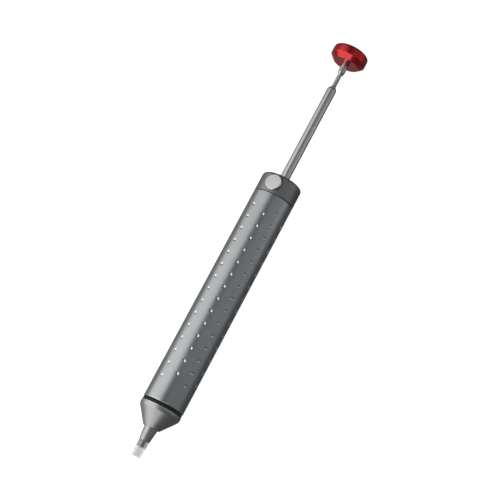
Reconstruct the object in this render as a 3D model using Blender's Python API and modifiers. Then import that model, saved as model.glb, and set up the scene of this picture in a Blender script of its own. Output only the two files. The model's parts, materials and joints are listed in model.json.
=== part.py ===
"""A desoldering pump, released, lying on its side with the release button on top.

+X runs from the silicone tip to the thumb knob and +Z is up. The origin is under the middle of
the pump, on the surface that the barrel rests on. Turned pieces are profiles of (radius,
station) points in millimetres. A station is the distance from the free end of the silicone tip
along the pump's axis, and a radius is measured to the flats of the faceted surface.
"""
import math

import bmesh
import bpy
from mathutils import Matrix

MM = 0.001

# ---- driving dimensions, in millimetres ----
LENGTH = 220.0
BARREL_R = 10.0
BORE_R = 8.5
PLAY = 0.1                  # gap between flat faces that bear on each other
FIT = 0.12                  # radial gap round a core in its bore
LOOSE_FIT = 0.15            # radial gap round the bush, the rod in its slot and the piston's ring
SIDES = 40                  # facets on a large outer piece, with a flat at the top and bottom
INNER_SIDES = 20            # facets on the rod and on the pieces inside the barrel
BUTTON_SIDES = 32
PIN_SIDES = 12

# stations of the outer pieces, from the tip
SPIGOT_END = 4.5
SLEEVE_END = 7.7
CONE_FRONT = 14.35
CONE_BACK = 22.15
FLANGE_BACK = 24.1
BARREL_FRONT = 25.75
BARREL_BACK = 135.5
CAP_BACK = 145.5

# silicone tip and nozzle
SPIGOT_R = 1.65
TIP_ROOT_R = 2.42
TIP_FREE_R = 2.15
TIP_TAPER_FRONT = 2.0
TIP_BORE_R = 1.4
SLEEVE_FRONT_R = 2.55
SHANK_R = 3.3
SUCTION_R = 1.15
FUNNEL_FRONT = 16.0
FUNNEL_R = 3.0
NOZZLE_FLANGE_R = 6.6
NOZZLE_FLANGE = (21.1, 23.0)

# nose
CONE_FRONT_R = 4.1
NOSE_CUP_R = 6.75
NOSE_PLUG_R = 8.3
NOSE_PLUG_BACK = 33.0
NOSE_RING_R = 0.75          # radius of the O-ring's section
NOZZLE_RING_R = 0.55
NOZZLE_RING_SEAT_R = 4.65

# barrel dimples
DIMPLE_R = 0.9
DIMPLE_FLOOR_R = 0.4
DIMPLE_SIDES = 6
DIMPLE_DEPTH = 0.3
DIMPLE_PITCH = 6.47
DIMPLE_FIRST = 36.9
DIMPLES_IN_LONG_ROW = 15
DIMPLE_ROWS = 10
FIRST_ROW_DEG = -21.4       # measured round the barrel from the button

# end cap
CAP_PLUG_R = 8.35
CAP_PLUG_FRONT = 128.0
CAP_EDGE_R = 1.3
CAP_ROD_BORE_R = 2.5
BUSH_SEAT_R = 3.65
BUSH_SEAT_BACK = 135.3

# release button and latch bolt, whose heights are measured up from the pump's axis
BUTTON_STATION = 140.7
BUTTON_R = 4.1
BUTTON_FACE_R = 2.6
BUTTON_DOME = (3.8, 0.15)    # radius, and depth under the top
BUTTON_RIM_DEPTH = 0.4
BUTTON_BORE_R = 4.25
BUTTON_BORE_STEP = 7.4      # the bore is narrower below, round the bolt
BUTTON_BORE_FLOOR = -8.7
BUTTON_TOP = 10.5
BUTTON_UNDERSIDE = 8.7
BUTTON_TRAVEL = 1.2
BUTTON_STEM_R = 1.2
BUTTON_STEM_END = 6.6
BOLT_R = 3.2
BOLT_BORE_R = 3.35
BOLT_BOTTOM = -5.2

# plunger, released
ROD_R = 2.3
NECK_R = 1.08
COLLAR_R = 1.75
ROD_SHOULDER = 198.2
NECK_FRONT = 200.0
NECK_BACK = 206.4
COLLAR_FRONT = 208.1
KNOB_FRONT = 213.1
KNOB_FACE_R = 6.55
KNOB_R = 8.92
KNOB_RIM = (215.4, 218.8)
KNOB_EDGE = 1.2
KNOB_SOCKET_BACK = 217.8
BUMPER = (125.6, 127.85)
BUMPER_FIT = 0.3
PISTON = (113.9, 125.3)
PISTON_R = 8.2
PISTON_GROOVE = (118.5, 120.7)
PISTON_GROOVE_R = 6.4
PISTON_RING_R = 0.9
WASHER = (112.7, 113.8)
WASHER_R = 7.0
NUT = (110.2, 112.6)
NUT_ACROSS_FLATS = 5.5
STUD_R = 1.5
STUD_FRONT = 109.6
PIN_R = 0.8
PIN_SOCKET_DEPTH = 4.0
PIN_FRONT = 67.0
PIN_POINT = (0.4, 0.5)      # radius of its flat end, and length

# springs
MAIN_COIL_R = 5.8
MAIN_WIRE_R = 0.5
MAIN_TURNS = 20
BUTTON_COIL_R = 2.2
BUTTON_WIRE_R = 0.25
BUTTON_TURNS = 4
CLOSED_PITCH = 2.3          # wire radii from one closed turn to the next
POINTS_PER_TURN = 8

RING_SECTION_SIDES = 8
CUT_PAST = 2.0              # how far a cutter runs past the solid

# turns an axis along Z to one along X, and X to Z; it undoes itself
UPRIGHT_TO_LYING = Matrix(((0, 0, 1), (0, -1, 0), (1, 0, 0)))


# ---- helpers ----

def clear_scene():
    for obj in list(bpy.data.objects):
        bpy.data.objects.remove(obj)


def new_collection(name):
    made = bpy.data.collections.new(name)
    bpy.context.scene.collection.children.link(made)
    return made


def finish(name, colour, roughness, metallic):
    """A Principled BSDF material."""
    made = bpy.data.materials.new(name)
    made.use_nodes = True
    shader = made.node_tree.nodes["Principled BSDF"]
    shader.inputs["Base Color"].default_value = (*colour, 1.0)
    shader.inputs["Roughness"].default_value = roughness
    shader.inputs["Metallic"].default_value = metallic
    return made


def empty(name, parent=None, station=0.0, swing=False):
    """An empty whose Z runs along a joint's axis."""
    made = bpy.data.objects.new(name, None)
    made.empty_display_size = 0.01
    parts.objects.link(made)
    made.parent = parent
    made.location.z = station * MM
    if swing:
        made.rotation_euler = UPRIGHT_TO_LYING.to_euler()
    return made


def place(obj, collection, parent, look=None):
    collection.objects.link(obj)
    obj.parent = parent
    if look:
        obj.data.materials.append(look)
    return obj


def turned(name, parent, look, outline, sides=SIDES, ring=True):
    """Spins an outline about Z. It runs down the outer side, and back up the bore of a ring."""
    stretch = MM / math.cos(math.pi / sides)
    points = [(radius * stretch, 0.0, station * MM) for radius, station in outline]
    edges = [(i, i + 1) for i in range(len(points) - 1)]
    if ring:
        edges.append((len(points) - 1, 0))
    mesh = bpy.data.meshes.new(name)
    mesh.from_pydata(points, edges, [])
    obj = place(bpy.data.objects.new(name, mesh), parts, parent, look)
    obj.rotation_euler.z = math.pi / sides
    spin = obj.modifiers.new("spin", "SCREW")
    spin.steps = sides
    spin.render_steps = sides
    spin.use_merge_vertices = True
    spin.merge_threshold = 0.00001
    spin.use_smooth_shade = True
    return obj


def o_ring(name, parent, look, middle_radius, section_radius, station, sides):
    """A torus whose section is a regular octagon with flats at its sides."""
    half = math.pi / RING_SECTION_SIDES
    corner = section_radius / math.cos(half)
    outline = []
    for i in range(RING_SECTION_SIDES):
        angle = half - 2 * half * i
        outline.append((middle_radius + corner * math.cos(angle),
                        station + corner * math.sin(angle)))
    return turned(name, parent, look, outline, sides)


def arc(centre_radius, centre_station, radius, start_deg, end_deg, steps):
    """Points along an arc in the plane of an outline; 0 degrees points away from the axis."""
    points = []
    for i in range(steps + 1):
        angle = math.radians(start_deg + (end_deg - start_deg) * i / steps)
        points.append((centre_radius + radius * math.cos(angle),
                       centre_station + radius * math.sin(angle)))
    return points


def cylinder_cutter(name, parent, radius, low, high, sides):
    mesh = bpy.data.meshes.new(name)
    shape = bmesh.new()
    corner = radius * MM / math.cos(math.pi / sides)
    bmesh.ops.create_cone(
        shape, cap_ends=True, segments=sides, radius1=corner, radius2=corner,
        depth=(high - low) * MM, matrix=Matrix.Translation((0, 0, (low + high) / 2 * MM)))
    shape.to_mesh(mesh)
    shape.free()
    cutter = place(bpy.data.objects.new(name, mesh), cutters, parent)
    cutter.rotation_euler.z = math.pi / sides
    return hide_cutter(cutter)


def hide_cutter(cutter):
    cutter.hide_render = True
    cutter.display_type = "WIRE"
    return cutter


def cut(obj, cutter):
    hole = obj.modifiers.new(cutter.name, "BOOLEAN")
    hole.operation = "DIFFERENCE"
    hole.solver = "EXACT"
    hole.object = cutter


def coil(name, parent, look, coil_radius, wire_radius, low, high, turns):
    """A compression spring between two heights, with one closed turn at each end."""
    closed_pitch = CLOSED_PITCH * wire_radius
    first = low + wire_radius
    last = high - wire_radius
    open_pitch = (last - first - 2 * closed_pitch) / (turns - 2)
    curve = bpy.data.curves.new(name, "CURVE")
    curve.dimensions = "3D"
    curve.bevel_depth = wire_radius * MM
    curve.bevel_resolution = 2
    curve.use_fill_caps = True
    count = turns * POINTS_PER_TURN + 1
    spline = curve.splines.new("POLY")
    spline.points.add(count - 1)
    for i in range(count):
        turn = i / POINTS_PER_TURN
        opened = min(max(turn - 1, 0), turns - 2)
        height = first + closed_pitch * (turn - opened) + open_pitch * opened
        angle = 2 * math.pi * turn
        spline.points[i].co = (coil_radius * MM * math.cos(angle),
                               coil_radius * MM * math.sin(angle), height * MM, 1.0)
    return place(bpy.data.objects.new(name, curve), parts, parent, look)


# ---- the nose ----

def silicone_tip(frame):
    """A tube stretched over the nozzle's spigot, so its root is a little wider."""
    root = SLEEVE_END - PLAY / 2
    bore_over_spigot = SPIGOT_R + FIT
    outline = [
        (TIP_ROOT_R, root), (TIP_ROOT_R, SPIGOT_END), (TIP_FREE_R, TIP_TAPER_FRONT),
        (TIP_FREE_R, 0.0), (TIP_BORE_R, 0.0), (TIP_BORE_R, SPIGOT_END - PLAY),
        (bore_over_spigot, SPIGOT_END - PLAY), (bore_over_spigot, root)]
    turned("silicone_tip", frame, silicone, outline, INNER_SIDES)


def nozzle(frame):
    """Spigot, tapered sleeve, shank and the flange that the main spring bears on."""
    flange_front, flange_back = NOZZLE_FLANGE
    sleeve_front = SLEEVE_END + PLAY / 2
    outline = [
        (NOZZLE_FLANGE_R, flange_back), (NOZZLE_FLANGE_R, flange_front),
        (SHANK_R, flange_front), (SHANK_R, CONE_FRONT), (SLEEVE_FRONT_R, sleeve_front),
        (SPIGOT_R, sleeve_front), (SPIGOT_R, SPIGOT_END), (SUCTION_R, SPIGOT_END),
        (SUCTION_R, FUNNEL_FRONT), (FUNNEL_R, flange_back)]
    turned("nozzle", frame, satin_aluminium, outline)


def nozzle_o_ring(frame):
    """Sits round the shank in the step behind the cone's front bore."""
    middle = SHANK_R + PLAY + NOZZLE_RING_R
    station = NOZZLE_FLANGE[0] - PLAY - NOZZLE_RING_R
    o_ring("nozzle_o_ring", frame, rubber, middle, NOZZLE_RING_R, station, INNER_SIDES)


def nose_cone(frame):
    """Cone, flange and the threaded plug that screws into the barrel."""
    front_bore = SHANK_R + FIT
    ring_seat_front = NOZZLE_FLANGE[0] - 2 * PLAY - 2 * NOZZLE_RING_R
    cup_floor = NOZZLE_FLANGE[0] - PLAY
    outline = [
        (NOSE_PLUG_R, NOSE_PLUG_BACK), (NOSE_PLUG_R, FLANGE_BACK), (BARREL_R, FLANGE_BACK),
        (BARREL_R, CONE_BACK), (CONE_FRONT_R, CONE_FRONT), (front_bore, CONE_FRONT),
        (front_bore, ring_seat_front), (NOZZLE_RING_SEAT_R, ring_seat_front),
        (NOZZLE_RING_SEAT_R, cup_floor), (NOSE_CUP_R, cup_floor),
        (NOSE_CUP_R, NOSE_PLUG_BACK)]
    turned("nose_cone", frame, satin_aluminium, outline)


def nose_o_ring(frame):
    middle = NOSE_PLUG_R + PLAY + NOSE_RING_R
    station = (FLANGE_BACK + BARREL_FRONT) / 2
    o_ring("nose_o_ring", frame, rubber, middle, NOSE_RING_R, station, SIDES)


# ---- the barrel and its cap ----

def dimple_cutter(frame):
    """Tapered plugs for every dimple. Alternate rows are shifted half a pitch."""
    mesh = bpy.data.meshes.new("dimples")
    shape = bmesh.new()
    overshoot = 0.3
    slope = (DIMPLE_R - DIMPLE_FLOOR_R) / DIMPLE_DEPTH
    top_r = DIMPLE_R + slope * overshoot
    depth = DIMPLE_DEPTH + overshoot
    middle = BARREL_R - DIMPLE_DEPTH + depth / 2
    for row in range(DIMPLE_ROWS):
        short = row % 2
        first = DIMPLE_FIRST + short * DIMPLE_PITCH / 2
        turn = math.radians(FIRST_ROW_DEG + row * 360 / DIMPLE_ROWS)
        for i in range(DIMPLES_IN_LONG_ROW - short):
            station = first + i * DIMPLE_PITCH
            where = (Matrix.Rotation(turn, 4, "Z")
                     @ Matrix.Translation((middle * MM, 0, station * MM))
                     @ Matrix.Rotation(math.pi / 2, 4, "Y"))
            bmesh.ops.create_cone(
                shape, cap_ends=True, segments=DIMPLE_SIDES, radius1=DIMPLE_FLOOR_R * MM,
                radius2=top_r * MM, depth=depth * MM, matrix=where)
    shape.to_mesh(mesh)
    shape.free()
    return hide_cutter(place(bpy.data.objects.new("dimples", mesh), cutters, frame))


def barrel(frame):
    outline = [(BARREL_R, BARREL_BACK), (BARREL_R, BARREL_FRONT),
               (BORE_R, BARREL_FRONT), (BORE_R, BARREL_BACK)]
    tube = turned("barrel", frame, grey_anodised, outline)
    cut(tube, dimple_cutter(frame))


def end_cap(frame, button_frame):
    """Head with a rounded back edge, a plug in the barrel, and the button's stepped bore."""
    head_front = BARREL_BACK + PLAY
    edge = arc(BARREL_R - CAP_EDGE_R, CAP_BACK - CAP_EDGE_R, CAP_EDGE_R, 90, 0, 4)
    outline = [
        *edge, (BARREL_R, head_front), (CAP_PLUG_R, head_front),
        (CAP_PLUG_R, CAP_PLUG_FRONT), (BUSH_SEAT_R, CAP_PLUG_FRONT),
        (BUSH_SEAT_R, BUSH_SEAT_BACK), (CAP_ROD_BORE_R, BUSH_SEAT_BACK),
        (CAP_ROD_BORE_R, CAP_BACK)]
    cap = turned("end_cap", frame, grey_anodised, outline)
    over = BARREL_R + CUT_PAST
    for name, radius, low in (("bolt_bore", BOLT_BORE_R, BUTTON_BORE_FLOOR),
                              ("button_bore", BUTTON_BORE_R, BUTTON_BORE_STEP)):
        cut(cap, cylinder_cutter(name, button_frame, radius, low, over, BUTTON_SIDES))


def rod_bush(frame):
    outer = BUSH_SEAT_R - LOOSE_FIT
    inner = ROD_R + FIT
    front = CAP_PLUG_FRONT + PLAY
    back = BUSH_SEAT_BACK - PLAY
    outline = [(outer, back), (outer, front), (inner, front), (inner, back)]
    turned("rod_bush", frame, brass, outline, INNER_SIDES)


def bumper_ring(frame):
    front, back = BUMPER
    outer = CAP_PLUG_R - BUMPER_FIT
    inner = ROD_R + BUMPER_FIT
    outline = [(outer, back), (outer, front), (inner, front), (inner, back)]
    turned("bumper_ring", frame, rubber, outline, INNER_SIDES)


# ---- the release button ----

def release_button(frame):
    """Domed head and the stem that is pressed into the bolt."""
    rim = BUTTON_TOP - BUTTON_RIM_DEPTH
    dome_r, dome_depth = BUTTON_DOME
    outline = [
        (0.0, BUTTON_TOP), (BUTTON_FACE_R, BUTTON_TOP), (dome_r, BUTTON_TOP - dome_depth),
        (BUTTON_R, rim),
        (BUTTON_R, BUTTON_UNDERSIDE), (BUTTON_STEM_R, BUTTON_UNDERSIDE),
        (BUTTON_STEM_R, BUTTON_STEM_END), (0.0, BUTTON_STEM_END)]
    turned("release_button", frame, chrome, outline, BUTTON_SIDES, ring=False)


def slot_cutter(frame):
    """A slot along the pump's axis: two rod-sized bores, one button travel apart, and between."""
    mesh = bpy.data.meshes.new("bolt_slot")
    shape = bmesh.new()
    corner = (ROD_R + LOOSE_FIT) * MM / math.cos(math.pi / INNER_SIDES)
    flat_down = Matrix.Rotation(math.pi / INNER_SIDES, 4, "Z")
    for height in (0.0, BUTTON_TRAVEL):
        where = Matrix.Translation((0, 0, height * MM)) @ Matrix.Rotation(math.pi / 2, 4, "Y")
        bmesh.ops.create_cone(
            shape, cap_ends=True, segments=INNER_SIDES, radius1=corner, radius2=corner,
            depth=3 * BOLT_R * MM, matrix=where @ flat_down)
    hull = bmesh.ops.convex_hull(shape, input=shape.verts)
    inside = [item for item in hull["geom_interior"] if isinstance(item, bmesh.types.BMVert)]
    bmesh.ops.delete(shape, geom=inside, context="VERTS")
    bmesh.ops.dissolve_limit(shape, angle_limit=0.01, verts=shape.verts, edges=shape.edges)
    bmesh.ops.recalc_face_normals(shape, faces=shape.faces)
    shape.to_mesh(mesh)
    shape.free()
    return hide_cutter(place(bpy.data.objects.new("bolt_slot", mesh), cutters, frame))


def latch_bolt(frame):
    """Bolt across the rod. Its slot lets the rod through, and its edge can enter the neck."""
    top = BUTTON_UNDERSIDE - PLAY
    socket_r = BUTTON_STEM_R + FIT
    socket_floor = BUTTON_STEM_END - PLAY
    outline = [
        (0.0, socket_floor), (socket_r, socket_floor), (socket_r, top), (BOLT_R, top),
        (BOLT_R, BOLT_BOTTOM), (0.0, BOLT_BOTTOM)]
    bolt = turned("latch_bolt", frame, steel, outline, BUTTON_SIDES, ring=False)
    cut(bolt, slot_cutter(frame))


# ---- the plunger ----

def plunger_rod(frame):
    """Rod, chamfered shoulder, latch neck and collar, with a stud for the piston in front."""
    shoulder = PISTON[1] + PLAY
    socket_floor = STUD_FRONT + PIN_SOCKET_DEPTH
    socket_r = PIN_R + FIT
    outline = [
        (0.0, KNOB_SOCKET_BACK - PLAY), (COLLAR_R, KNOB_SOCKET_BACK - PLAY),
        (COLLAR_R, COLLAR_FRONT), (NECK_R, NECK_BACK), (NECK_R, NECK_FRONT),
        (ROD_R, ROD_SHOULDER), (ROD_R, shoulder), (STUD_R, shoulder),
        (STUD_R, STUD_FRONT), (socket_r, STUD_FRONT), (socket_r, socket_floor),
        (0.0, socket_floor)]
    turned("plunger_rod", frame, steel, outline, INNER_SIDES, ring=False)


def knob(frame):
    socket_r = COLLAR_R + FIT
    rim_front, rim_back = KNOB_RIM
    top = rim_back + KNOB_EDGE
    edge = arc(KNOB_R - KNOB_EDGE, rim_back, KNOB_EDGE, 90, 0, 3)
    outline = [
        (0.0, top), *edge, (KNOB_R, rim_front), (KNOB_FACE_R, KNOB_FRONT),
        (socket_r, KNOB_FRONT), (socket_r, KNOB_SOCKET_BACK), (0.0, KNOB_SOCKET_BACK)]
    turned("knob", frame, red_anodised, outline, ring=False)


def piston(frame):
    front, back = PISTON
    groove_front, groove_back = PISTON_GROOVE
    bore = STUD_R + FIT
    outline = [
        (PISTON_R, back), (PISTON_R, groove_back), (PISTON_GROOVE_R, groove_back),
        (PISTON_GROOVE_R, groove_front), (PISTON_R, groove_front), (PISTON_R, front),
        (bore, front), (bore, back)]
    turned("piston", frame, white_plastic, outline, INNER_SIDES)


def piston_o_ring(frame):
    middle = BORE_R - LOOSE_FIT - PISTON_RING_R
    station = sum(PISTON_GROOVE) / 2
    o_ring("piston_o_ring", frame, rubber, middle, PISTON_RING_R, station, INNER_SIDES)


def piston_washer(frame):
    front, back = WASHER
    bore = STUD_R + FIT
    outline = [(WASHER_R, back), (WASHER_R, front), (bore, front), (bore, back)]
    turned("piston_washer", frame, steel, outline, INNER_SIDES)


def lock_nut(frame):
    """A hexagon nut: six flats outside, and a bore that is cut round."""
    front, back = NUT
    outer = NUT_ACROSS_FLATS / 2
    outline = [(0.0, back), (outer, back), (outer, front), (0.0, front)]
    nut = turned("lock_nut", frame, steel, outline, 6, ring=False)
    bore = cylinder_cutter("nut_bore", frame, STUD_R + FIT, front - CUT_PAST,
                           back + CUT_PAST, INNER_SIDES)
    cut(nut, bore)


def clearing_pin(frame):
    back = STUD_FRONT + PIN_SOCKET_DEPTH - PLAY
    point_r, point_length = PIN_POINT
    outline = [
        (0.0, back), (PIN_R, back), (PIN_R, PIN_FRONT + point_length), (point_r, PIN_FRONT),
        (0.0, PIN_FRONT)]
    turned("clearing_pin", frame, steel, outline, PIN_SIDES, ring=False)


# ---- the model ----

clear_scene()
parts = new_collection("desoldering_pump")
cutters = new_collection("cutters")

grey_anodised = finish("grey_anodised", (0.12, 0.13, 0.135), 0.38, 0.9)
satin_aluminium = finish("satin_aluminium", (0.40, 0.40, 0.40), 0.35, 1.0)
red_anodised = finish("red_anodised", (0.50, 0.01, 0.02), 0.25, 0.9)
steel = finish("steel", (0.45, 0.45, 0.44), 0.28, 1.0)
chrome = finish("chrome", (0.75, 0.75, 0.75), 0.12, 1.0)
brass = finish("brass", (0.60, 0.42, 0.15), 0.3, 1.0)
rubber = finish("rubber", (0.015, 0.015, 0.015), 0.6, 0.0)
silicone = finish("silicone", (0.80, 0.80, 0.80), 0.4, 0.0)
white_plastic = finish("white_plastic", (0.75, 0.74, 0.70), 0.45, 0.0)

pump_frame = empty("pump_frame", swing=True)
pump_frame.location = (-LENGTH / 2 * MM, 0, BARREL_R * MM)
nose_frame = empty("nose_frame", pump_frame)
tip_frame = empty("tip_frame", nose_frame)
plunger_frame = empty("plunger_frame", pump_frame)
button_frame = empty("button_frame", pump_frame, BUTTON_STATION, swing=True)

silicone_tip(tip_frame)
nozzle(nose_frame)
nozzle_o_ring(nose_frame)
nose_cone(nose_frame)
nose_o_ring(nose_frame)
barrel(pump_frame)
end_cap(pump_frame, button_frame)
rod_bush(pump_frame)
bumper_ring(pump_frame)
release_button(button_frame)
latch_bolt(button_frame)
plunger_rod(plunger_frame)
knob(plunger_frame)
piston(plunger_frame)
piston_o_ring(plunger_frame)
piston_washer(plunger_frame)
lock_nut(plunger_frame)
clearing_pin(plunger_frame)
coil("main_spring", pump_frame, steel, MAIN_COIL_R, MAIN_WIRE_R,
     NOZZLE_FLANGE[1] + PLAY, WASHER[0] - PLAY, MAIN_TURNS)
coil("button_spring", button_frame, steel, BUTTON_COIL_R, BUTTON_WIRE_R,
     BUTTON_BORE_FLOOR + PLAY, BOLT_BOTTOM - PLAY, BUTTON_TURNS)
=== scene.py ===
"""The looks of the desoldering pump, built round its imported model.

Sizes are in millimetres, and places in metres. A station is the distance from the silicone tip's
free end along the pump's axis. An outline is a list of (radius, station) points. It runs along
the outer side towards the tip, and back through the bore. A point may state its own corner
radius as a third number.
"""
import json
import math

import bmesh
import bpy
from mathutils import Matrix, Vector


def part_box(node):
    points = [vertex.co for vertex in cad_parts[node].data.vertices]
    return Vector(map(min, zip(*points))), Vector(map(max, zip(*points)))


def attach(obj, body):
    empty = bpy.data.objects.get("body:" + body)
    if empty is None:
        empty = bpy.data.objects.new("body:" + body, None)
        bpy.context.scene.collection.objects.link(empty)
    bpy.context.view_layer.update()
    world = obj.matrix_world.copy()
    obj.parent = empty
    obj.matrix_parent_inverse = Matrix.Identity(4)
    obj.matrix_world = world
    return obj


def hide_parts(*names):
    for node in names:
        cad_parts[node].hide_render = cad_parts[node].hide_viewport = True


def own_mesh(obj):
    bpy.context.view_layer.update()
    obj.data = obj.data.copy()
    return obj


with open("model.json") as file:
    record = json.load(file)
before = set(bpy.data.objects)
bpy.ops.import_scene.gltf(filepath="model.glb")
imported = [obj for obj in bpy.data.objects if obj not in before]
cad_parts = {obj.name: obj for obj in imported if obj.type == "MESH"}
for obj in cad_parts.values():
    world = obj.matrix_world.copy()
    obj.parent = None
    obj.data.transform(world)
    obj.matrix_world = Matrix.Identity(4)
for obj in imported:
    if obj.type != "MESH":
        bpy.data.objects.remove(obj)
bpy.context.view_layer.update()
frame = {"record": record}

MM = 0.001
TIP_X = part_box("silicone_tip")[0].x
AXIS_Z = sum(corner.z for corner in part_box("barrel")) / 2
BUTTON_X = sum(corner.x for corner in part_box("release_button")) / 2
BODY_OF = {node: body for body, nodes in frame["record"]["behaviour"]["bodies"].items()
           for node in nodes}
FULL_TURN = 2 * math.pi

CORNER = 0.15               # default corner radius
FINE_CORNER = 0.02          # corner radius where two pieces meet
WIDEST_WORN_CORNER = 0.35
CORNER_SHARE = 0.45         # the most of a side that a corner takes
FLAT_MARGIN = 0.3           # from a rounded corner to the point that holds its side flat
STRAIGHT = math.radians(8)  # a smaller bend is left unrounded
ARC_STEP = math.radians(22.5)
SHARP = math.radians(35)
WELD_GAP = 0.002
SHORTEST_EDGE = 0.0005

BARREL_R = 10.0
BARREL = (25.75, 135.5)
BORE_R = 8.5
BUTTON_TRAVEL = 1.2

DIMPLE_ROWS = 10
DIMPLES_IN_LONG_ROW = 15
DIMPLE_PITCH = 6.47
DIMPLE_FIRST = 36.9
FIRST_ROW_TURN = math.radians(-21.4)
DIMPLE_R = 0.9
DIMPLE_DEPTH = 0.3
CELL_SIDE = 8               # quads along each side of the patch round a dimple


# ---- places ----

def lying(radius, station, turn):
    """A place round the pump's axis; turn is 0 straight up, and grows towards -Y."""
    return Vector((TIP_X + station * MM, -radius * MM * math.sin(turn),
                   AXIS_Z + radius * MM * math.cos(turn)))


def standing(radius, height, turn):
    """A place round the button's axis; the height is over the pump's axis."""
    return Vector((BUTTON_X + radius * MM * math.cos(turn), radius * MM * math.sin(turn),
                   AXIS_Z + height * MM))


# ---- meshes ----

def rounded(outline, ring, corner):
    """Rounds an outline's corners. Each point made is (radius, station, normal, wear)."""
    made = []
    count = len(outline)
    for i, entry in enumerate(outline):
        here = Vector(entry[:2])
        before = Vector(outline[i - 1][:2]) if ring or i > 0 else None
        after = Vector(outline[(i + 1) % count][:2]) if ring or i < count - 1 else None
        arriving = (here - before).normalized() if before else (after - here).normalized()
        leaving = (after - here).normalized() if after else arriving
        normal_in = Vector((-arriving.y, arriving.x))
        normal_out = Vector((-leaving.y, leaving.x))
        bend = math.atan2(arriving.x * leaving.y - arriving.y * leaving.x,
                          arriving.dot(leaving))
        if before is None or after is None or abs(bend) < STRAIGHT:
            made.append((here.x, here.y, (normal_in + normal_out).normalized(), 0.0))
            continue
        wanted = (entry[2] if len(entry) > 2 else corner) * math.tan(abs(bend) / 2)
        cut = min(wanted, CORNER_SHARE * (here - before).length,
                  CORNER_SHARE * (after - here).length)
        radius = cut / math.tan(abs(bend) / 2)
        side = 1.0 if bend < 0 else -1.0
        start = here - arriving * cut
        centre = start - normal_in * radius * side
        steps = max(2, math.ceil(abs(bend) / ARC_STEP))
        worn = 1.0 if bend < 0 and radius < WIDEST_WORN_CORNER else 0.0
        reach = cut + FLAT_MARGIN
        if (here - before).length > 2 * reach:
            back = here - arriving * reach
            made.append((back.x, back.y, normal_in, 0.0))
        for step in range(steps + 1):
            normal = Matrix.Rotation(bend * step / steps, 2) @ normal_in
            point = centre + normal * radius * side
            made.append((point.x, point.y, normal, worn))
        if (after - here).length > 2 * reach:
            front = here + leaving * reach
            made.append((front.x, front.y, normal_out, 0.0))
    return made


def revolve(profile, ring, sides, where, shift=None):
    """Vertices, faces, normals and wear of a profile spun round an axis.

    where gives the place of a radius, station and turn. shift gives how far a point moves towards
    the axis.
    """
    places, faces, normals, wear, rows = [], [], [], [], []
    for radius, station, normal, worn in profile:
        turns = [0.0] if radius < 1e-6 else [FULL_TURN * j / sides for j in range(sides)]
        rows.append(list(range(len(places), len(places) + len(turns))))
        for turn in turns:
            drop = shift(radius, station, turn) if shift else 0.0
            places.append(where(radius - drop, station, turn))
            tip = where(radius + normal.x, station + normal.y, turn)
            normals.append((tip - where(radius, station, turn)).normalized())
            wear.append(worn)
    pairs = list(zip(rows, rows[1:]))
    if ring:
        pairs.append((rows[-1], rows[0]))
    for first, second in pairs:
        for j in range(sides):
            k = (j + 1) % sides
            corners = [first[j % len(first)], second[j % len(second)],
                       second[k % len(second)], first[k % len(first)]]
            faces.append(list(dict.fromkeys(corners)))
    return places, faces, normals, wear


def mesh_of(name, places, faces, wear=None):
    """A smooth mesh. Its wear, where given, is a number from 0 to 1 at each vertex."""
    mesh = bpy.data.meshes.new(name)
    mesh.from_pydata(places, [], faces)
    mesh.polygons.foreach_set("use_smooth", [True] * len(mesh.polygons))
    if wear:
        mark(mesh, "wear", wear)
    return mesh


def mark(mesh, name, values):
    """Gives each vertex a number that the materials read."""
    mesh.attributes.new(name, "FLOAT", "POINT").data.foreach_set("value", values)


def dress(node, mesh, look):
    """Puts a mesh in place of a CAD node."""
    obj = bpy.data.objects.new(node + "_fine", mesh)
    bpy.context.collection.objects.link(obj)
    mesh.materials.clear()
    mesh.materials.append(look)
    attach(obj, BODY_OF[node])
    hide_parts(node)
    return obj


def turned(node, outline, look, sides=128, ring=True, corner=CORNER, where=lying,
           recut=None):
    """A turned piece. ring joins the outline's end to its start, as for a piece with a bore.

    The surface between the two stations of recut has a finish of its own.
    """
    profile = rounded(outline, ring, corner)
    places, faces, normals, wear = revolve(profile, ring, sides, where)
    mesh = mesh_of(node, places, faces, wear)
    mesh.normals_split_custom_set_from_vertices(normals)
    if recut:
        low, high = (TIP_X + station * MM for station in recut)
        mark(mesh, "cut", [float(low < place.x < high) for place in places])
    dress(node, mesh, look)


def o_ring(node, look, middle, section, station, sides=128):
    """A ring of round rubber; middle is its mean radius, and section its cord's radius."""
    around = 20
    profile = []
    for i in range(around):
        angle = -FULL_TURN * i / around
        normal = Vector((math.cos(angle), math.sin(angle)))
        profile.append((middle + section * normal.x, station + section * normal.y, normal, 0.0))
    places, faces, normals, wear = revolve(profile, True, sides, lying)
    mesh = mesh_of(node, places, faces, wear)
    mesh.normals_split_custom_set_from_vertices(normals)
    dress(node, mesh, look)


def weld(mesh):
    """Joins vertices that lie together, and turns every face outwards."""
    shape = bmesh.new()
    shape.from_mesh(mesh)
    bmesh.ops.remove_doubles(shape, verts=shape.verts, dist=WELD_GAP * MM)
    bmesh.ops.recalc_face_normals(shape, faces=shape.faces)
    shape.to_mesh(mesh)
    shape.free()


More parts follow.
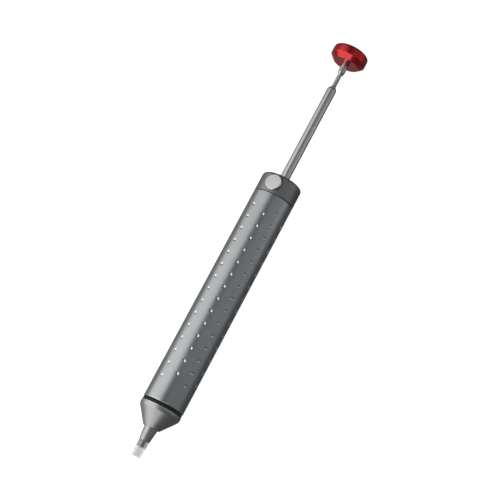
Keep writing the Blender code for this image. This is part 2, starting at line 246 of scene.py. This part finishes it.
def combine(mesh, cutter, operation="DIFFERENCE"):
    """The closed result of a boolean of two meshes, smooth but for its sharp edges."""
    made = [bpy.data.objects.new("operand", data) for data in (mesh, cutter)]
    for obj in made:
        bpy.context.collection.objects.link(obj)
    step = made[0].modifiers.new("combine", "BOOLEAN")
    step.operation = operation
    step.solver = "EXACT"
    step.object = made[1]
    bpy.context.view_layer.update()
    evaluated = made[0].evaluated_get(bpy.context.evaluated_depsgraph_get())
    result = bpy.data.meshes.new_from_object(evaluated)
    for obj in made:
        bpy.data.objects.remove(obj)
    shape = bmesh.new()
    shape.from_mesh(result)
    bmesh.ops.remove_doubles(shape, verts=shape.verts, dist=WELD_GAP * MM)
    bmesh.ops.dissolve_degenerate(shape, edges=shape.edges, dist=SHORTEST_EDGE * MM)
    for edge in shape.edges:
        edge.smooth = len(edge.link_faces) == 2 and edge.calc_face_angle() < SHARP
    for face in shape.faces:
        face.smooth = True
    shape.to_mesh(result)
    shape.free()
    return result


def prism(name, ends):
    """The mesh of a prism between two end outlines, for a boolean."""
    count = len(ends[0])
    faces = []
    for i in range(count):
        k = (i + 1) % count
        faces.append([i, k, count + k, count + i])
    faces += [list(reversed(range(count))), list(range(count, 2 * count))]
    mesh = mesh_of(name, ends[0] + ends[1], faces)
    weld(mesh)
    return mesh


def solid(name, outline, sides, where, ring=False, corner=CORNER):
    """The mesh of a turned solid, for a boolean."""
    places, faces, _, wear = revolve(rounded(outline, ring, corner), ring, sides, where)
    return mesh_of(name, places, faces, wear)


def coil(node, look, where, coil_r, wire_r, low, high, turns):
    """A compression spring between two heights, with one closed turn at each end."""
    per_turn, around = 36, 12
    closed_pitch = 2.3 * wire_r     # a little more than the wire's thickness
    first, last = low + wire_r, high - wire_r
    open_pitch = (last - first - 2 * closed_pitch) / (turns - 2)
    places, faces = [], []
    count = turns * per_turn + 1
    for i in range(count):
        turn = i / per_turn
        opened = min(max(turn - 1, 0), turns - 2)
        height = first + closed_pitch * (turn - opened) + open_pitch * opened
        for j in range(around):
            angle = FULL_TURN * j / around
            places.append(where(coil_r + wire_r * math.cos(angle),
                                height + wire_r * math.sin(angle), FULL_TURN * turn))
    for i in range(count - 1):
        for j in range(around):
            k = (j + 1) % around
            faces.append([i * around + j, i * around + k, (i + 1) * around + k,
                          (i + 1) * around + j])
    faces.append(list(range(around)))
    faces.append([(count - 1) * around + j for j in reversed(range(around))])
    mesh = mesh_of(node, places, faces)
    weld(mesh)
    for face in mesh.polygons:
        face.use_smooth = len(face.vertices) == 4
    return dress(node, mesh, look)


# ---- the dimpled barrel ----

def dimple_drop(distance):
    """How far the surface lies under the barrel's, at a distance from a dimple's middle."""
    soft_edge = 0.02
    ball_r = (DIMPLE_R ** 2 + DIMPLE_DEPTH ** 2) / (2 * DIMPLE_DEPTH)
    rim = math.sqrt(ball_r ** 2 - DIMPLE_R ** 2)
    under = math.sqrt(max(ball_r ** 2 - distance ** 2, 0.0)) - rim
    return 0.5 * (under + math.hypot(under, soft_edge))


def dimple_patch(station, turn):
    """A square patch of the barrel with one dimple: rings of points from its middle outwards."""
    half_length = DIMPLE_PITCH / 2
    half_width = BARREL_R * math.pi / DIMPLE_ROWS
    around = 4 * CELL_SIDE
    circles = (0.22, 0.44, 0.62, 0.76, 0.84, 0.89, 0.94, 1.0, 1.1, 1.4)
    blends = (0.35, 0.7, 1.0)   # how far each outer ring has gone from a circle to the square
    bright_r = DIMPLE_R - 0.03

    def place(along, across):
        distance = math.hypot(along, across)
        spot = lying(BARREL_R - dimple_drop(distance), station + along, turn + across / BARREL_R)
        return spot, 1.0 if distance < bright_r else 0.0

    def on_square(step):
        side, part = divmod(step, CELL_SIDE)
        share = 2 * part / CELL_SIDE - 1
        along, across = [(1, share), (-share, 1), (-1, -share), (share, -1)][side]
        return along * half_length, across * half_width

    points = [place(0, 0)]
    for radius in circles:
        for step in range(around):
            angle = FULL_TURN * (step / around - 1 / 8)
            points.append(place(radius * math.cos(angle), radius * math.sin(angle)))
    for blend in blends:
        for step in range(around):
            angle = FULL_TURN * (step / around - 1 / 8)
            along, across = on_square(step)
            points.append(place(
                (1 - blend) * circles[-1] * math.cos(angle) + blend * along,
                (1 - blend) * circles[-1] * math.sin(angle) + blend * across))
    faces = [[0, 1 + j, 1 + (j + 1) % around] for j in range(around)]
    for k in range(len(circles) + len(blends) - 1):
        base = 1 + k * around
        for j in range(around):
            i = (j + 1) % around
            faces.append([base + j, base + around + j, base + around + i, base + i])
    return points, faces


def barrel(look):
    """The barrel: dimpled patches, plain ones that fill the short rows, and two turned ends."""
    places, faces, cut, wear = [], [], [], []

    def add(new_places, new_faces, new_cut, new_wear):
        base = len(places)
        places.extend(new_places)
        faces.extend([[base + i for i in face] for face in new_faces])
        cut.extend(new_cut)
        wear.extend(new_wear)

    half_row = math.pi / DIMPLE_ROWS
    low = DIMPLE_FIRST - DIMPLE_PITCH / 2
    high = low + DIMPLES_IN_LONG_ROW * DIMPLE_PITCH
    for row in range(DIMPLE_ROWS):
        short = row % 2
        turn = FIRST_ROW_TURN + 2 * half_row * row
        first = DIMPLE_FIRST + short * DIMPLE_PITCH / 2
        for i in range(DIMPLES_IN_LONG_ROW - short):
            points, patch = dimple_patch(first + i * DIMPLE_PITCH, turn)
            spots, bright = zip(*points)
            add(spots, patch, bright, [0.0] * len(points))
        if short:
            step = DIMPLE_PITCH / CELL_SIDE
            for start in (low, high - DIMPLE_PITCH / 2):
                grid = [lying(BARREL_R, start + i * step,
                              turn + half_row * (2 * j / CELL_SIDE - 1))
                        for i in range(CELL_SIDE // 2 + 1) for j in range(CELL_SIDE + 1)]
                wide = CELL_SIDE + 1
                quads = [[i * wide + j, i * wide + j + 1, (i + 1) * wide + j + 1,
                          (i + 1) * wide + j]
                         for i in range(CELL_SIDE // 2) for j in range(CELL_SIDE)]
                add(grid, quads, [0.0] * len(grid), [0.0] * len(grid))
    front, back = BARREL
    outline = [(BARREL_R, low), (BARREL_R, low - 3), (BARREL_R, front, 0.3),
               (BORE_R, front, 0.3), (BORE_R, back), (BARREL_R, back, 0.4),
               (BARREL_R, high + 2), (BARREL_R, high)]
    seam = FIRST_ROW_TURN - half_row
    ends, end_faces, _, end_wear = revolve(
        rounded(outline, False, CORNER), False, DIMPLE_ROWS * CELL_SIDE,
        lambda radius, station, turn: lying(radius, station, turn + seam))
    add(ends, end_faces, [0.0] * len(ends), end_wear)
    mesh = mesh_of("barrel", places, faces, wear)
    mark(mesh, "cut", cut)
    weld(mesh)
    dress("barrel", mesh, look)


# ---- materials ----

GRAIN_PER_MM = 4.0
GRAIN_HEIGHT = 0.03
RING_HEIGHT = 0.02
SKIN_HEIGHT = 0.03


def put(tree, kind, inputs=None, **settings):
    """Adds a node. An input's value is a number, a colour or another node's output."""
    made = tree.nodes.new("ShaderNode" + kind)
    for name, value in settings.items():
        setattr(made, name, value)
    for name, value in (inputs or {}).items():
        if isinstance(value, bpy.types.NodeSocket):
            tree.links.new(value, made.inputs[name])
        else:
            made.inputs[name].default_value = value
    return made


def scaled(tree, value, low, high, to_low, to_high):
    """A value moved from one range to another, and held inside it."""
    return put(tree, "MapRange", {"Value": value, "From Min": low, "From Max": high,
                                  "To Min": to_low, "To Max": to_high}).outputs["Result"]


def math_of(tree, operation, first, second=0.5):
    return put(tree, "Math", {0: first, 1: second}, operation=operation).outputs[0]


def mixed(tree, factor, first, second):
    """A mix of two colours."""
    return put(tree, "Mix", {0: factor, 6: first, 7: second}, data_type="RGBA").outputs[2]


def mixed_number(tree, factor, first, second):
    return put(tree, "Mix", {0: factor, 2: first, 3: second}, data_type="FLOAT").outputs[0]


def noise(tree, vector, per_mm, detail=2.0, roughness=0.5):
    """Noise from 0 to 1 with a number of blotches a millimetre."""
    return put(tree, "TexNoise", {"Vector": vector, "Scale": per_mm / MM, "Detail": detail,
                                  "Roughness": roughness}).outputs["Fac"]


def colour(values, gain=1.0):
    """A colour with its alpha, made lighter or darker by a gain."""
    return (*[value * gain for value in values], 1.0)


def principled(name, sockets):
    """A new material, its node tree and its shader."""
    look = bpy.data.materials.new(name)
    look.use_nodes = True
    shader = look.node_tree.nodes["Principled BSDF"]
    for socket, value in sockets.items():
        shader.inputs[socket].default_value = value
    return look, look.node_tree, shader


def turning_marks(tree, upright):
    """Plain coordinates, and ones that are the same all the way round the axis.

    The second follow a lathe tool's marks, round the button's axis where the piece is upright.
    """
    place = put(tree, "TexCoord").outputs["Object"]
    if upright:
        centre, across = (BUTTON_X, 0, 0), (1, 1, 0)
    else:
        centre, across = (0, 0, AXIS_Z), (0, 1, 1)
    middle = put(tree, "VectorMath", {0: place, 1: centre}, operation="SUBTRACT").outputs[0]
    out = put(tree, "VectorMath", {0: middle, 1: across}, operation="MULTIPLY").outputs[0]
    radius = put(tree, "VectorMath", {0: out}, operation="LENGTH").outputs["Value"]
    parts = put(tree, "SeparateXYZ", {0: place})
    along = parts.outputs["Z" if upright else "X"]
    return place, put(tree, "CombineXYZ", {0: along, 1: radius}).outputs[0]


def hairlines(tree, place):
    """Sparse fine scratches that run mostly one way."""
    stretched = put(tree, "Mapping", {"Vector": place, "Rotation": (0.4, 0.5, 0.9),
                                      "Scale": (0.16, 6.0, 6.0)}).outputs[0]
    drift = math_of(tree, "SUBTRACT", noise(tree, stretched, 0.1, 0.0), 0.5)
    near = math_of(tree, "ABSOLUTE", drift)
    sparse = scaled(tree, noise(tree, place, 0.13, 2.0), 0.48, 0.62, 0.0, 1.0)
    return math_of(tree, "MULTIPLY", scaled(tree, near, 0.0, 0.012, 1.0, 0.0), sparse)


def metal(name, base, rough, grain, rings=0.0, worn=None, spread=0.06, upright=False,
          recut=None, metallic=1.0, coat=0.0, handled=None):
    """Turned metal: tool rings, blasted grain, patchy sheen, and edges that are worn bright.

    grain and rings are strengths. worn is the colour of worn edges, and spread is how far the
    base colour varies. recut is the colour and roughness where the surface was cut again.
    handled is the tint of the stains that hands leave, which come with fine scratches.
    """
    look, tree, shader = principled(name, {
        "Metallic": metallic, "Coat Weight": coat, "Coat Roughness": 0.12, "IOR": 1.5})
    place, around = turning_marks(tree, upright)
    patches = noise(tree, place, 0.09, 4.0, 0.6)
    fine = noise(tree, place, 1.3, 3.0, 0.6)
    ring_marks = noise(tree, around, 3.0, 4.0, 0.7)
    tint = mixed(tree, scaled(tree, patches, 0.3, 0.7, 0.0, 1.0),
                 colour(base, 1 - spread), colour(base, 1 + spread))
    tint = mixed(tree, scaled(tree, fine, 0.35, 0.75, 0.0, 0.35), tint, colour(base, 0.82))
    sheen = math_of(tree, "ADD", scaled(tree, patches, 0.25, 0.75, rough - 0.03, rough + 0.04),
                    scaled(tree, fine, 0.3, 0.7, -0.03, 0.03))
    if rings:
        sheen = math_of(tree, "ADD", sheen, scaled(tree, ring_marks, 0.3, 0.7, -0.04, 0.05))
    if handled:
        stains = scaled(tree, noise(tree, place, 0.07, 5.0, 0.65), 0.5, 0.64, 0.0, 0.75)
        marks = hairlines(tree, place)
        tint = mixed(tree, stains, tint, colour(handled))
        tint = mixed(tree, marks, tint, colour(base, 1.2))
        sheen = mixed_number(tree, marks, sheen, rough - 0.1)
    if recut:
        inside = put(tree, "Attribute", attribute_name="cut").outputs["Fac"]
        tint = mixed(tree, inside, tint, colour(recut[0]))
        sheen = mixed_number(tree, inside, sheen, recut[1])
    if worn:
        edge = put(tree, "Attribute", attribute_name="wear").outputs["Fac"]
        patchy = math_of(tree, "MULTIPLY", edge, scaled(tree, fine, 0.38, 0.55, 0.25, 1.0))
        tint = mixed(tree, patchy, tint, colour(worn))
        sheen = mixed_number(tree, patchy, sheen, rough * 0.8)
    tree.links.new(tint, shader.inputs["Base Color"])
    tree.links.new(sheen, shader.inputs["Roughness"])
    pits = {"Height": noise(tree, place, GRAIN_PER_MM, 3.0, 0.6), "Strength": grain,
            "Distance": GRAIN_HEIGHT * MM}
    if rings:
        pits["Normal"] = put(tree, "Bump", {"Height": ring_marks, "Strength": rings,
                                            "Distance": RING_HEIGHT * MM}).outputs[0]
    tree.links.new(put(tree, "Bump", pits).outputs[0], shader.inputs["Normal"])
    return look


def soft_look(name, base, rough, dark, sockets, bump=0.3, per_mm=3.0):
    """Rubber, silicone or moulded plastic, with a mottled colour and a fine uneven skin."""
    look, tree, shader = principled(name, sockets)
    place = put(tree, "TexCoord").outputs["Object"]
    patches = noise(tree, place, 0.35, 4.0, 0.6)
    fine = noise(tree, place, per_mm, 3.0, 0.6)
    tint = mixed(tree, scaled(tree, patches, 0.3, 0.7, 0.0, 1.0), colour(base), colour(dark))
    tree.links.new(tint, shader.inputs["Base Color"])
    tree.links.new(scaled(tree, fine, 0.3, 0.7, rough - 0.07, rough + 0.07),
                   shader.inputs["Roughness"])
    made = put(tree, "Bump", {"Height": fine, "Strength": bump, "Distance": SKIN_HEIGHT * MM})
    tree.links.new(made.outputs[0], shader.inputs["Normal"])
    return look


grey = metal("anodised_grey", (0.50, 0.52, 0.53), 0.36, rings=0.12, grain=0.25,
             worn=(0.75, 0.76, 0.77), recut=((0.8, 0.81, 0.82), 0.2),
             handled=(0.465, 0.485, 0.52))
cap_grey = metal("anodised_cap", (0.36, 0.37, 0.375), 0.46, rings=0.12, grain=0.2,
                 worn=(0.7, 0.71, 0.72), handled=(0.335, 0.35, 0.375))
bare = metal("aluminium_turned", (0.56, 0.56, 0.555), 0.42, rings=0.35, grain=0.12,
             worn=(0.85, 0.85, 0.84))
red = metal("anodised_red", (0.78, 0.016, 0.026), 0.28, rings=0.3, grain=0.05,
            worn=(0.8, 0.1, 0.11), metallic=0.96, coat=0.85)
rod_steel = metal("steel_ground", (0.655, 0.655, 0.65), 0.3, rings=0.2, grain=0.04,
                  worn=(0.8, 0.8, 0.79), recut=((0.66, 0.66, 0.655), 0.85))
dull_steel = metal("steel_plain", (0.52, 0.51, 0.49), 0.33, rings=0.2, grain=0.1,
                   worn=(0.72, 0.71, 0.69))
bolt_steel = metal("steel_bolt", (0.52, 0.51, 0.49), 0.3, rings=0.2, grain=0.08,
                   worn=(0.72, 0.71, 0.69), upright=True)
spring_steel = metal("steel_wire", (0.48, 0.47, 0.46), 0.3, grain=0.15)
chrome = metal("chrome_plate", (0.60, 0.60, 0.60), 0.16, rings=0.08, grain=0.03,
               worn=(0.9, 0.9, 0.9), spread=0.03, upright=True)
brass = metal("brass_turned", (0.70, 0.50, 0.20), 0.3, rings=0.3, grain=0.06,
              worn=(0.85, 0.66, 0.33))
rubber = soft_look("rubber_black", (0.018, 0.018, 0.019), 0.5, (0.032, 0.032, 0.033),
                   {"IOR": 1.5, "Specular IOR Level": 0.3})
silicone = soft_look("silicone_clear", (0.71, 0.714, 0.72), 0.14, (0.63, 0.634, 0.64),
                     {"IOR": 1.41, "Transmission Weight": 1.0}, bump=0.02, per_mm=0.6)
plastic = soft_look("plastic_white", (0.78, 0.77, 0.72), 0.4, (0.72, 0.71, 0.66),
                    {"IOR": 1.5, "Subsurface Weight": 0.1, "Subsurface Scale": 0.002})


# ---- the nose ----

THREAD = (26.2, 32.6)
THREAD_PITCH = 1.0
THREAD_DEPTH = 0.24
THREAD_FADE = 0.7           # length over which each end of the thread runs out
THREAD_ROWS = 76
PLUG_R = 8.3


def thread_drop(radius, station, turn):
    """How far a right-hand thread's groove lies under the plug's crest."""
    if abs(radius - PLUG_R) > 0.01 or not THREAD[0] < station < THREAD[1]:
        return 0.0
    share = (station / THREAD_PITCH - turn / FULL_TURN) % 1.0
    fade = min(1.0, (station - THREAD[0]) / THREAD_FADE, (THREAD[1] - station) / THREAD_FADE)
    flat_bottom = 1.25
    groove = 1 - abs(2 * share - 1)
    return THREAD_DEPTH * fade * min(1.0, flat_bottom * groove)


def threaded_nose():
    length = THREAD[1] - THREAD[0]
    ridge = [(PLUG_R, THREAD[1] - length * i / THREAD_ROWS) for i in range(THREAD_ROWS + 1)]
    outline = [
        (PLUG_R, 33.0, 0.2), *ridge, (PLUG_R, 24.1), (BARREL_R, 24.1, 0.2),
        (BARREL_R, 22.15, 2.4), (4.1, 14.35, 0.2), (3.42, 14.35, 0.1), (3.42, 19.8),
        (4.65, 19.8), (4.65, 21.0), (6.75, 21.0), (6.75, 33.0, 0.2)]
    places, faces, _, wear = revolve(rounded(outline, True, 0.12), True, 96, lying,
                                     shift=thread_drop)
    dress("nose_cone", mesh_of("nose_cone", places, faces, wear), bare)


threaded_nose()
o_ring("nose_o_ring", rubber, 9.15, 0.75, 24.925)
turned("nozzle", [
    (6.6, 23.0), (6.6, 21.1), (3.3, 21.1), (3.3, 14.35), (2.55, 7.75, 0.12),
    (1.65, 7.75, 0.08), (1.65, 4.5, 0.1), (1.15, 4.5, 0.1), (1.15, 16.0), (3.0, 23.0)],
    bare, sides=96)
o_ring("nozzle_o_ring", rubber, 3.95, 0.55, 20.45, 96)
turned("silicone_tip", [
    (2.42, 7.65, 0.12), (2.42, 4.6), (2.36, 3.9), (2.22, 2.9), (2.15, 1.9), (2.15, 0.0, 0.1),
    (1.4, 0.0, 0.1), (1.4, 4.4), (1.64, 4.4), (1.64, 7.65)], silicone, sides=96)


# ---- the barrel and its cap ----

def drilled_cap():
    """The end cap with its stepped cross bore; its round side keeps round normals."""
    outline = [
        (BARREL_R, 145.5, 1.3), (BARREL_R, 135.6, 0.4), (8.35, 135.6), (8.35, 128.0, 0.3),
        (3.65, 128.0), (3.65, 135.3), (2.5, 135.3), (2.5, 145.5, 0.2)]
    body = solid("end_cap", outline, 144, lying, ring=True)
    drill = solid("drill", [(0, 13), (4.25, 13), (4.25, 7.4), (3.35, 7.4),
                            (3.35, -8.7), (0, -8.7)], 96, standing, corner=FINE_CORNER)
    mesh = combine(body, drill)
    out = [Vector((0, vertex.co.y, vertex.co.z - AXIS_Z)) for vertex in mesh.vertices]
    on_side = [abs(spot.length - BARREL_R * MM) < 0.02 * MM for spot in out]
    unset = Vector((0, 0, 0))   # leaves a corner's normal to Blender
    normals = []
    for polygon in mesh.polygons:
        round_side = all(on_side[i] for i in polygon.vertices)
        normals += [out[i].normalized() if round_side else unset for i in polygon.vertices]
    mesh.normals_split_custom_set(normals)
    dress("end_cap", mesh, cap_grey)


barrel(grey)
drilled_cap()
turned("rod_bush", [(3.5, 135.2), (3.5, 128.1), (2.42, 128.1), (2.42, 135.2)], brass)
turned("bumper_ring", [(8.05, 127.85, 0.4), (8.05, 125.6, 0.4), (2.6, 125.6), (2.6, 127.85)],
       rubber)
main_spring = coil("main_spring", spring_steel, lying, 5.8, 0.5, 23.1, 112.6, 20)
button_spring = coil("button_spring", spring_steel, standing, 2.2, 0.25, -8.6, -5.3, 4)


# ---- the button and the bolt ----

turned("release_button", [
    (0.0, 10.5), (2.0, 10.48, 4.0), (3.74, 10.39, 0.7), (4.1, 10.13, 0.3), (4.1, 8.7),
    (1.2, 8.7), (1.2, 6.6), (0.0, 6.6)], chrome, ring=False, where=standing)


def slotted_bolt():
    """The latch bolt; the rod passes through its slot, which is long by the button's travel."""
    body = solid("latch_bolt", [
        (0.0, 6.5), (1.32, 6.5), (1.32, 8.6), (3.2, 8.6, 0.2), (3.2, -5.2, 0.3), (0.0, -5.2)],
        96, standing)
    slot_r, half_length, steps = 2.45, 6.0, 24
    section = []
    for first, lift in ((0, BUTTON_TRAVEL), (steps, 0.0)):
        for i in range(first, first + steps + 1):
            angle = math.pi * i / steps
            section.append((slot_r * math.cos(angle), slot_r * math.sin(angle) + lift))
    slot = prism("slot", [[
        (BUTTON_X + side * half_length * MM, across * MM, AXIS_Z + height * MM)
        for across, height in section] for side in (-1, 1)])
    dress("latch_bolt", combine(body, slot), bolt_steel)


slotted_bolt()


# ---- the plunger ----

turned("plunger_rod", [
    (0.0, 217.7), (1.75, 217.7), (1.75, 208.1, 0.5), (1.08, 206.4, 0.5), (1.08, 200.0, 0.5),
    (2.3, 198.2, 1.6), (2.3, 125.4), (1.5, 125.4), (1.5, 109.6), (0.92, 109.6),
    (0.92, 113.6), (0.0, 113.6)], rod_steel, sides=96, ring=False, recut=(198.4, 204.0))
turned("knob", [
    (0.0, 220.0), (8.92, 220.0, 1.2), (8.92, 215.4, 0.5), (6.55, 213.1, 0.25),
    (1.87, 213.1), (1.87, 217.8), (0.0, 217.8)], red, ring=False)
turned("piston", [
    (8.2, 125.3, 0.3), (8.2, 120.7), (6.4, 120.7), (6.4, 118.5), (8.2, 118.5),
    (8.2, 113.9, 0.3), (1.62, 113.9), (1.62, 125.3)], plastic)
o_ring("piston_o_ring", rubber, 7.45, 0.9, 119.6)
turned("piston_washer", [(7.0, 113.8), (7.0, 112.7), (1.62, 112.7), (1.62, 113.8)], dull_steel)
turned("clearing_pin", [(0.0, 113.5), (0.8, 113.5), (0.8, 67.5), (0.4, 67.0), (0.0, 67.0)],
       dull_steel, sides=48, ring=False, corner=0.1)


def hexagon_nut():
    """The lock nut: a chamfered turned blank, cut to a hexagon."""
    across, front, back, chamfer = 5.5, 110.2, 112.6, 0.3
    corner_r = across / math.sqrt(3)
    flat_r = across / 2 + 0.05
    blank_r = corner_r + 0.02
    hexagon = prism("hexagon", [[
        lying(corner_r, station, FULL_TURN * (j + 0.5) / 6) for j in range(6)]
        for station in (front, back)])
    blank = solid("lock_nut", [
        (flat_r, back), (blank_r, back - chamfer), (blank_r, front + chamfer),
        (flat_r, front), (1.62, front), (1.62, back)], 96, lying, ring=True, corner=0.05)
    weld(blank)
    dress("lock_nut", combine(blank, hexagon, "INTERSECT"), dull_steel)


hexagon_nut()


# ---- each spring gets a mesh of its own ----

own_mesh(main_spring)
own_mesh(button_spring)


# ---- floor, light and camera ----

FLOOR_HALF = 4.0
FLOOR_GAP = 0.1
WHITE = (1.0, 1.0, 1.0)
WARM = (1.0, 0.99, 0.97)
COOL = (0.92, 0.97, 1.0)

LENS = 102.24
SENSOR = 36
CAMERA_DISTANCE = 0.6622
CAMERA_TARGET_X = -0.0012
CAMERA_ASIDE = 0.00152      # from the pump's axis to the line of sight
CAMERA_TURN = math.radians(22)
CAMERA_LEAN = math.radians(14.2)
CAMERA_ROLL = math.radians(28.12)


def floor():
    """A pale sheet that gives a little light of its own, and that the metal does not mirror."""
    half = FLOOR_HALF
    mesh = bpy.data.meshes.new("floor")
    mesh.from_pydata([(-half, -half, 0), (half, -half, 0), (half, half, 0), (-half, half, 0)],
                     [], [(0, 1, 2, 3)])
    obj = bpy.data.objects.new("floor", mesh)
    bpy.context.collection.objects.link(obj)
    obj.location.z = -FLOOR_GAP * MM
    look, tree, shader = principled("floor_paper", {
        "Roughness": 0.9, "Specular IOR Level": 0.1, "Emission Strength": 0.95,
        "Emission Color": colour(WHITE)})
    place = put(tree, "TexCoord").outputs["Object"]
    tint = mixed(tree, noise(tree, place, 0.02, 3.0), colour(WHITE, 0.52), colour(WHITE, 0.58))
    tree.links.new(tint, shader.inputs["Base Color"])
    mesh.materials.append(look)
    obj.visible_glossy = False


def softbox(name, from_deg, to_deg, distance, start_x, end_x, luminance, tint=WHITE):
    """An area light that faces the pump's axis, between two angles round it and two places on X.

    An angle is 0 straight up and grows towards -Y.
    """
    turn = math.radians((from_deg + to_deg) / 2)
    size_across = 2 * distance * math.tan(math.radians((to_deg - from_deg) / 2))
    size_along = end_x - start_x
    centre = Vector(((start_x + end_x) / 2, 0, AXIS_Z))
    out = Vector((0, -math.sin(turn), math.cos(turn)))
    across = out.cross(Vector((1, 0, 0))).normalized()
    lengthwise = across.cross(out)
    data = bpy.data.lights.new(name, "AREA")
    data.shape = "RECTANGLE"
    data.size = size_along
    data.size_y = size_across
    data.energy = luminance * math.pi * size_along * size_across
    data.color = tint
    obj = bpy.data.objects.new(name, data)
    bpy.context.collection.objects.link(obj)
    obj.matrix_world = Matrix.Translation(centre + out * distance) @ Matrix(
        (lengthwise, across, out)).transposed().to_4x4()
    obj.visible_camera = False


def camera():
    """Looks at the pump from its button's side, turned round its axis and leant along it."""
    along = Vector((1, 0, 0))
    facing = Vector((0, -math.sin(CAMERA_TURN), math.cos(CAMERA_TURN)))
    forward = -math.cos(CAMERA_LEAN) * facing + math.sin(CAMERA_LEAN) * along
    up_axis = math.cos(CAMERA_LEAN) * along + math.sin(CAMERA_LEAN) * facing
    side = forward.cross(up_axis)
    up = math.cos(CAMERA_ROLL) * up_axis - math.sin(CAMERA_ROLL) * side
    right = math.cos(CAMERA_ROLL) * side + math.sin(CAMERA_ROLL) * up_axis
    target = Vector((CAMERA_TARGET_X, 0, AXIS_Z)) + CAMERA_ASIDE * side
    data = bpy.data.cameras.new("camera")
    data.lens = LENS
    data.sensor_width = SENSOR
    data.clip_start = 0.01
    data.clip_end = 20
    obj = bpy.data.objects.new("camera", data)
    bpy.context.collection.objects.link(obj)
    obj.matrix_world = Matrix.Translation(target - CAMERA_DISTANCE * forward) @ Matrix(
        (right, up, -forward)).transposed().to_4x4()
    bpy.context.scene.camera = obj


def surroundings():
    """Dim surroundings for what the metal reflects, and a pale backdrop."""
    world = bpy.data.worlds.new("studio")
    bpy.context.scene.world = world
    world.use_nodes = True
    tree = world.node_tree
    tree.nodes.clear()
    seen = put(tree, "LightPath").outputs["Is Camera Ray"]
    direction = put(tree, "TexCoord").outputs["Generated"]
    bench = (0.0, 0.75, -0.66)  # the way down to the lit bench behind the pump
    towards_bench = put(tree, "VectorMath", {0: direction, 1: bench},
                        operation="DOT_PRODUCT").outputs["Value"]
    strength = scaled(tree, towards_bench, 0.5, 0.95, 0.095, 0.24)
    dim = put(tree, "Background", {"Color": (0.95, 0.98, 1.0, 1), "Strength": strength})
    pale = put(tree, "Background", {"Color": colour(WHITE), "Strength": 1.05})
    both = put(tree, "MixShader", {0: seen, 1: dim.outputs[0], 2: pale.outputs[0]})
    put(tree, "OutputWorld", {0: both.outputs[0]})


floor()
for part, start, end, luminance in (
        ("front", -0.4, 0.03, 1.12), ("middle", 0.03, 0.18, 0.97), ("back", 0.18, 0.42, 0.83)):
    softbox("key_softbox_" + part, -83, -4, 0.7, start, end, luminance, WARM)
softbox("front_softbox", -90, -4, 0.6, -2.0, -0.38, 1.05)
softbox("nose_softbox", -4, 45, 0.6, -2.0, -0.85, 1.4)
for part, start, end, luminance in (
        ("front", -0.06, 0.34, 0.23), ("middle", 0.34, 0.44, 0.4), ("back", 0.44, 0.9, 0.13)):
    softbox("fill_softbox_" + part, 21, 115, 0.85, start, end, luminance, COOL)
softbox("side_strip", 84, 106, 0.6, 0.25, 0.29, 1.6)
camera()
surroundings()
bpy.context.scene.view_settings.view_transform = "Standard"
